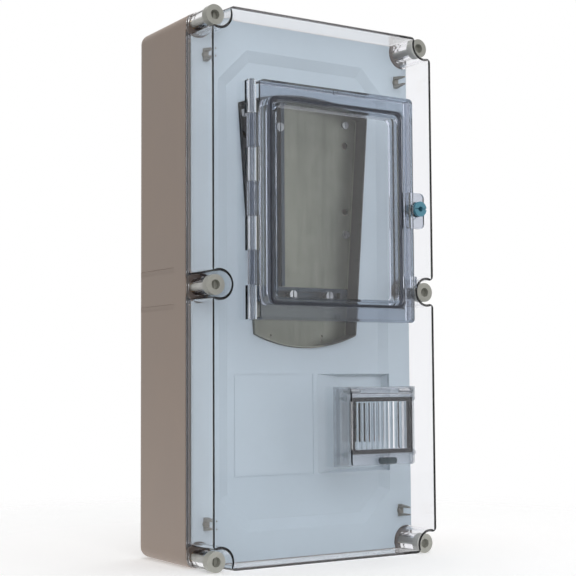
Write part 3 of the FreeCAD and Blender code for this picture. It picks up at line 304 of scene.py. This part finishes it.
GREY_BASE = moulded("base_grey", srgb(166, 149, 137), 0.5)
WHITE_COVER = moulded("cover_white", srgb(166, 180, 190), 0.42, 0.03)
SCREW_PLASTIC = moulded("screw_plastic", srgb(168, 168, 160), 0.38, 0.05)
CLIP_PLASTIC = moulded("clip_plastic", srgb(104, 103, 96), 0.4)
HINGE_PIN = moulded("hinge_pin", srgb(92, 102, 114), 0.45)
BLUE_PLASTIC = moulded("latch_blue", srgb(84, 146, 166), 0.3)
GREY_SEAL = rubber("grey_seal", srgb(108, 113, 125))
BLACK_RUBBER = rubber("black_rubber", srgb(16, 19, 25))
LID_SEAL = rubber("lid_seal", srgb(112, 112, 118))
FRAME_FILM = thin_clear("frame_film", srgb(176, 186, 196), 0.34, 0.12)
KNOB_SMOKE = thin_clear("knob_smoke", srgb(74, 86, 92), 0.75, 0.15)
CLEAR = clear_plastic("clear_polycarbonate", LID_TINT, LID_INDEX, LID_DENSITY)
WINDOW = clear_plastic("window_polycarbonate", LID_TINT, WINDOW_INDEX, WINDOW_DENSITY, SATIN, METER_PANE)
FLAP = clear_plastic("flap_polycarbonate", FLAP_TINT, LID_INDEX, LID_DENSITY)
GALVANISED_WITH_PAINTED_SHADE = sheet_metal("galvanised", srgb(124, 127, 118), 0.5, (1.0, 1.0, 0.06), 240.0, PAN_PAINTED_SHADE)
# Zinc darkened as painted shade, on the hanger rail and the crossbar
ZINC_PAINTED_SHADE = sheet_metal("zinc_painted_shade", srgb(54, 63, 72), 0.4, (1.0, 1.0, 0.2), 200.0)
ZINC = sheet_metal("bright_zinc", srgb(150, 154, 158), 0.3, (1.0, 1.0, 1.0), 180.0)
BRASS = sheet_metal("turned_brass", srgb(190, 154, 84), 0.3, (1.0, 8.0, 1.0), 120.0)

PAINT = {
    "enclosure_base": GREY_BASE,
    "thread_inserts": BRASS,
    "lid_gasket": LID_SEAL,
    "clear_lid": CLEAR,
    "cover_screws": SCREW_PLASTIC,
    "faceplate": WHITE_COVER,
    "faceplate_clips": CLIP_PLASTIC,
    "meter_pan": GALVANISED_WITH_PAINTED_SHADE,
    "meter_pan_screws": ZINC,
    "hanger_rail": ZINC_PAINTED_SHADE,
    "hanger_bolt": ZINC,
    "crossbar": ZINC_PAINTED_SHADE,
    "crossbar_bolts": ZINC,
    "din_rail": ZINC,
    "din_rail_screws": ZINC,
    "meter_window": WINDOW,
    "meter_window_seal": GREY_SEAL,
    "meter_window_pin": HINGE_PIN,
    "meter_window_latch": BLUE_PLASTIC,
    "meter_window_latch_ring": ZINC,
    "breaker_frame": FRAME_FILM,
    "breaker_frame_screws": FRAME_FILM,
    "breaker_seal": BLACK_RUBBER,
    "breaker_flap_pins": ZINC,
    "breaker_flap": FLAP,
    "breaker_flap_latch": KNOB_SMOKE,
    "breaker_flap_latch_ring": ZINC,
}
for name, material in PAINT.items():
    mesh = node(name).data
    mesh.materials.clear()
    mesh.materials.append(material)

EASED = {
    "enclosure_base": 0.0006,
    "clear_lid": 0.0004,
    "meter_window": 0.0004,
    "breaker_frame": 0.0004,
    "breaker_flap": 0.0003,
    "faceplate": 0.0004,
    "cover_screws": 0.0005,
    "meter_window_latch": 0.0003,
}
for name, width in EASED.items():
    edge = node(name).modifiers.new("eased_edges", "BEVEL")
    edge.width = width
    edge.segments = EDGE_SEGMENTS
    edge.limit_method = "ANGLE"
    edge.angle_limit = EDGE_ANGLE
    edge.harden_normals = True


def mirrored_or_through(tree, path):
    """1 for rays that come by way of a reflection or a clear part."""
    return calculate(tree, "MAXIMUM", path.outputs["Is Glossy Ray"], path.outputs["Is Transmission Ray"])


def build_floor():
    """A pale floor that fades into the white surroundings away from the box."""
    bpy.ops.mesh.primitive_plane_add(size=FLOOR_SIZE, location=(0.0, 0.0, FLOOR_Z))
    floor = bpy.context.object
    floor.name = "floor"
    material, tree, shader = new_material("floor_pale")
    shader.inputs["Base Color"].default_value = FLOOR_COLOUR
    shader.inputs["Roughness"].default_value = FLOOR_ROUGHNESS
    shader.inputs["Emission Color"].default_value = WHITE
    shader.inputs["Emission Strength"].default_value = FLOOR_GLOW
    x, y, _ = parts_of(tree, texture_space(tree))
    reach = calculate(tree, "MULTIPLY_ADD", x, x, calculate(tree, "MULTIPLY", y, y))
    fade = rise(tree, calculate(tree, "SQRT", reach, 0.0), FLOOR_FADE_STEP)
    none = tree.nodes.new("ShaderNodeBsdfTransparent")
    path = tree.nodes.new("ShaderNodeLightPath")
    hidden = calculate(tree, "MAXIMUM", fade, mirrored_or_through(tree, path))
    surface = tree.nodes["Material Output"].inputs["Surface"]
    mix_shaders(tree, hidden, shader.outputs["BSDF"], none.outputs["BSDF"], surface)
    floor.data.materials.append(material)
    return floor


def build_world():
    """Soft light on the part, with plain white where the surroundings are seen."""
    world = bpy.data.worlds.new("studio")
    bpy.context.scene.world = world
    world.use_nodes = True
    tree = world.node_tree
    light = tree.nodes["Background"]
    light.inputs["Color"].default_value = WHITE
    light.inputs["Strength"].default_value = WORLD_LIGHT
    white = tree.nodes.new("ShaderNodeBackground")
    white.inputs["Color"].default_value = WHITE
    white.inputs["Strength"].default_value = WORLD_WHITE
    path = tree.nodes.new("ShaderNodeLightPath")
    seen = calculate(tree, "MAXIMUM", path.outputs["Is Camera Ray"], mirrored_or_through(tree, path))
    surface = tree.nodes["World Output"].inputs["Surface"]
    mix_shaders(tree, seen, light.outputs["Background"], white.outputs["Background"], surface)


def area_lamp(name, place, target, width, height, power):
    data = bpy.data.lights.new(name, "AREA")
    data.shape = "RECTANGLE"
    data.size = width
    data.size_y = height
    data.energy = power
    lamp = bpy.data.objects.new(name, data)
    bpy.context.collection.objects.link(lamp)
    aim = Vector(target) - Vector(place)
    lamp.visible_glossy = False
    lamp.matrix_world = Matrix.Translation(place) @ aim.to_track_quat("-Z", "Y").to_matrix().to_4x4()
    return lamp


def build_camera():
    """The photo's camera: a slight upward view from the left of the front."""
    forward = math.cos(CAMERA_PITCH)
    ahead = Vector((math.sin(CAMERA_YAW) * forward, math.cos(CAMERA_YAW) * forward, math.sin(CAMERA_PITCH)))
    level = Vector((math.cos(CAMERA_YAW), -math.sin(CAMERA_YAW), 0.0))
    above = level.cross(ahead)
    right = level * math.cos(CAMERA_ROLL) + above * math.sin(CAMERA_ROLL)
    up = above * math.cos(CAMERA_ROLL) - level * math.sin(CAMERA_ROLL)
    data = bpy.data.cameras.new("photo_view")
    data.sensor_width = CAMERA_SENSOR
    data.lens = CAMERA_LENS
    data.clip_start = CAMERA_NEAR
    camera = bpy.data.objects.new("photo_view", data)
    bpy.context.collection.objects.link(camera)
    turn = Matrix((right, up, -ahead)).transposed().to_4x4()
    camera.matrix_world = Matrix.Translation(CAMERA_PLACE) @ turn
    bpy.context.scene.camera = camera


build_world()
build_floor()
area_lamp("key", (-0.9, -2.4, 1.1), (0.0, -0.1, 0.0), 1.6, 1.6, 18.0)
area_lamp("fill", (1.6, -2.0, 0.5), (0.0, -0.1, 0.0), 1.4, 1.8, 7.0)
area_lamp("top", (0.2, 0.2, 2.2), (0.0, -0.1, 0.0), 1.6, 1.6, 22.0)
build_camera()
bpy.context.scene.view_settings.view_transform = "Standard"
